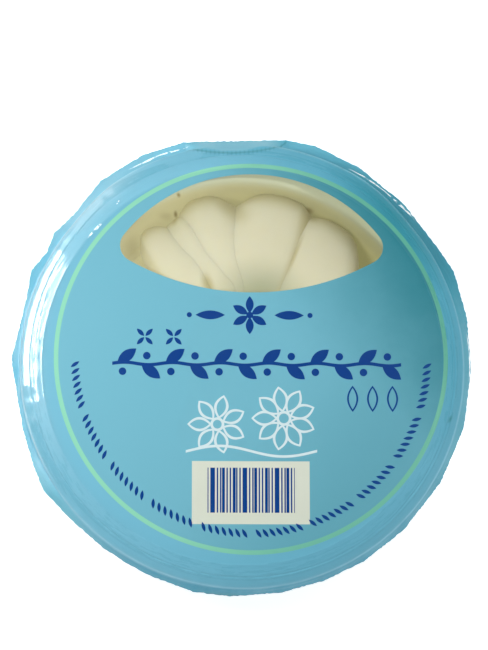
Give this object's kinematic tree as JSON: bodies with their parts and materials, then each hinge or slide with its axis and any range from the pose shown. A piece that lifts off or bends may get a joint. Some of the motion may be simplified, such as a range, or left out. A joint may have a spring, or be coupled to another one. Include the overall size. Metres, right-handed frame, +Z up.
{
  "type": "packed lily bulb",
  "caption": "Lily bulb of fleshy overlapping scales in a shallow round tray, sealed between a printed film with a clear lens-shaped window and a base film.",
  "frame": {"origin": "middle of the flat base, on the surface that the pack rests on", "axes": "+Z up through the window film, +Y towards the window's side of the pack, +X to the right seen from above"},
  "size_m": [0.1357, 0.1356, 0.0318],
  "materials": {
    "printed_film": "gloss",
    "clear_film": "gloss",
    "tray_plastic": "satin",
    "bulb_flesh": "satin",
    "basal_plate": "matte"
  },
  "bodies": {
    "root": {"tray": "tray_plastic", "printed_lid_film": "printed_film", "clear_window_film": "clear_film", "base_film": "printed_film", "basal_plate": "basal_plate", "heart_scales": "bulb_flesh", "second_scale_1": "bulb_flesh", "second_scale_2": "bulb_flesh", "second_scale_3": "bulb_flesh", "second_scale_4": "bulb_flesh", "second_scale_5": "bulb_flesh", "second_scale_6": "bulb_flesh", "second_scale_7": "bulb_flesh", "second_scale_8": "bulb_flesh", "second_scale_9": "bulb_flesh", "second_scale_10": "bulb_flesh", "outer_scale_1": "bulb_flesh", "outer_scale_2": "bulb_flesh", "outer_scale_3": "bulb_flesh", "outer_scale_4": "bulb_flesh", "outer_scale_5": "bulb_flesh", "outer_scale_6": "bulb_flesh", "outer_scale_7": "bulb_flesh", "outer_scale_8": "bulb_flesh", "outer_scale_9": "bulb_flesh", "outer_scale_10": "bulb_flesh", "outer_scale_11": "bulb_flesh", "outer_scale_12": "bulb_flesh", "outer_scale_13": "bulb_flesh", "outer_scale_14": "bulb_flesh", "outer_scale_15": "bulb_flesh"}
  },
  "joints": []
}
